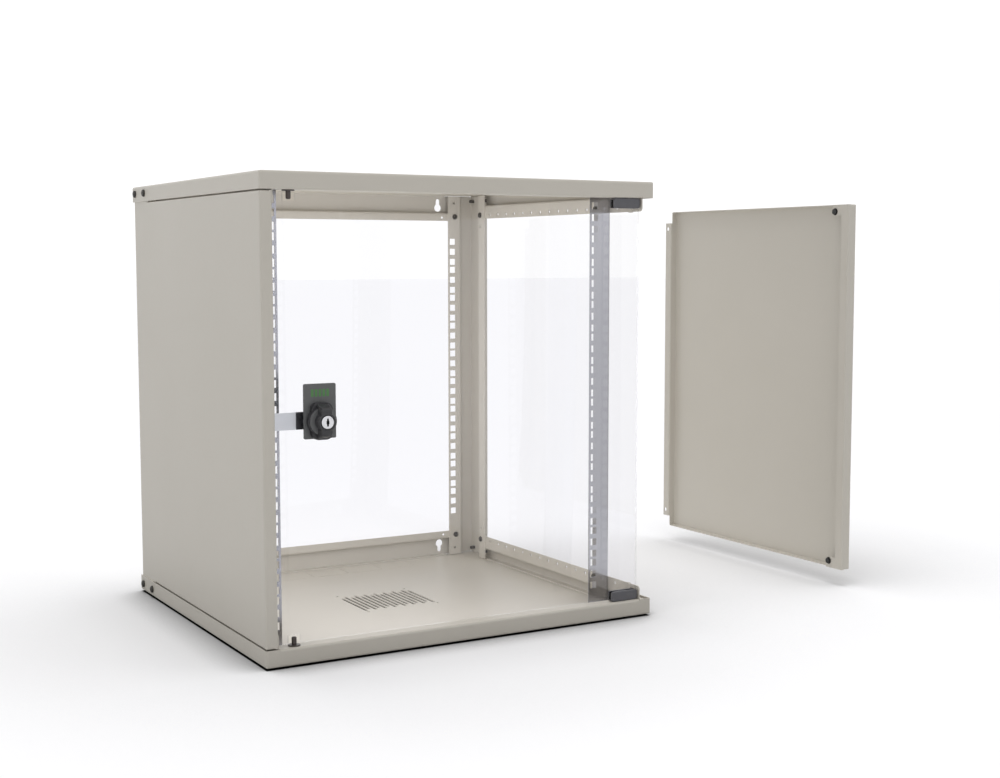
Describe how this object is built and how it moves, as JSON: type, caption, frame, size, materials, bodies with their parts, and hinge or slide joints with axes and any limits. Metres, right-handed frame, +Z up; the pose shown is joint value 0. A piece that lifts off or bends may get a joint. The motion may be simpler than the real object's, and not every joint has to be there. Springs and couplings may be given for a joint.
{
  "type": "wall mount network cabinet",
  "caption": "Wall-mounted 19 inch cabinet: folded steel carcass, glass front door with turn-knob lock, lift-off side panels, adjustable rack rails and rear wall keyholes.",
  "frame": {"origin": "middle of the base's underside, on the floor", "axes": "+X to the right seen from the front, +Y from the front door to the wall side, +Z up"},
  "size_m": [0.912, 0.518, 0.58],
  "materials": {
    "painted_steel": "textured powder coat, warm light grey",
    "zinc_plated_steel": "zinc plated, semi-gloss",
    "nickel_plated": "satin nickel",
    "black_screws": "black zinc",
    "dark_pins": "black zinc",
    "black_studs": "moulded nylon",
    "toughened_glass": "clear, polished edges",
    "dark_clamps": "dark grey powder-coated die casting",
    "liner_rubber": "soft, matt",
    "black_plastic": "fine moulded texture"
  },
  "bodies": {
    "cabinet": {"base_tray": "painted_steel", "top_cover": "painted_steel", "rear_post_left": "painted_steel", "rear_post_right": "painted_steel", "rear_beam_top": "painted_steel", "rear_beam_bottom": "painted_steel", "side_beam_left_top": "painted_steel", "side_beam_left_bottom": "painted_steel", "side_beam_right_top": "painted_steel", "side_beam_right_bottom": "painted_steel", "front_rail_left": "zinc_plated_steel", "front_rail_right": "zinc_plated_steel", "corner_screws": "black_screws", "side_beam_screws": "black_screws", "rear_beam_screws": "black_screws", "rail_screws": "black_screws", "hinge_pins_right": "dark_pins", "hinge_pins_left": "dark_pins"},
    "side_panel_left": {"side_panel_left": "painted_steel", "panel_studs_left": "black_studs"},
    "side_panel_right": {"side_panel_right": "painted_steel", "panel_studs_right": "black_studs"},
    "door": {"glass_door": "toughened_glass", "hinge_clamp_top": "dark_clamps", "hinge_clamp_bottom": "dark_clamps", "clamp_liners": "liner_rubber", "clamp_screws": "black_screws", "lock_plate": "black_plastic", "lock_barrel": "black_plastic", "lock_nut": "zinc_plated_steel"},
    "latch": {"turn_knob": "black_plastic", "cam_carrier": "black_plastic", "cam_tongue": "zinc_plated_steel", "cam_screw": "zinc_plated_steel"},
    "key": {"key_cylinder": "nickel_plated"}
  },
  "joints": [
    {"name": "door_hinge", "type": "hinge", "parent": "cabinet", "child": "door", "pos_m": [0.236, -0.2398, 0.29], "axis": [0, 0, 1], "range_deg": [0, 135]},
    {"name": "latch_turn", "type": "hinge", "parent": "door", "child": "latch", "pos_m": [-0.2013, -0.25, 0.2885], "axis": [0, 1, 0], "range_deg": [0, 90]},
    {"name": "key_turn", "type": "hinge", "parent": "latch", "child": "key", "pos_m": [-0.2013, -0.268, 0.2885], "axis": [0, 1, 0], "range_deg": [0, 90]},
    {"name": "left_panel_pull", "type": "slide", "parent": "cabinet", "child": "side_panel_left", "axis": [-1, 0, 0], "range_m": [0, 0.359]},
    {"name": "right_panel_pull", "type": "slide", "parent": "cabinet", "child": "side_panel_right", "axis": [1, 0, 0], "range_m": [-0.359, 0]}
  ]
}
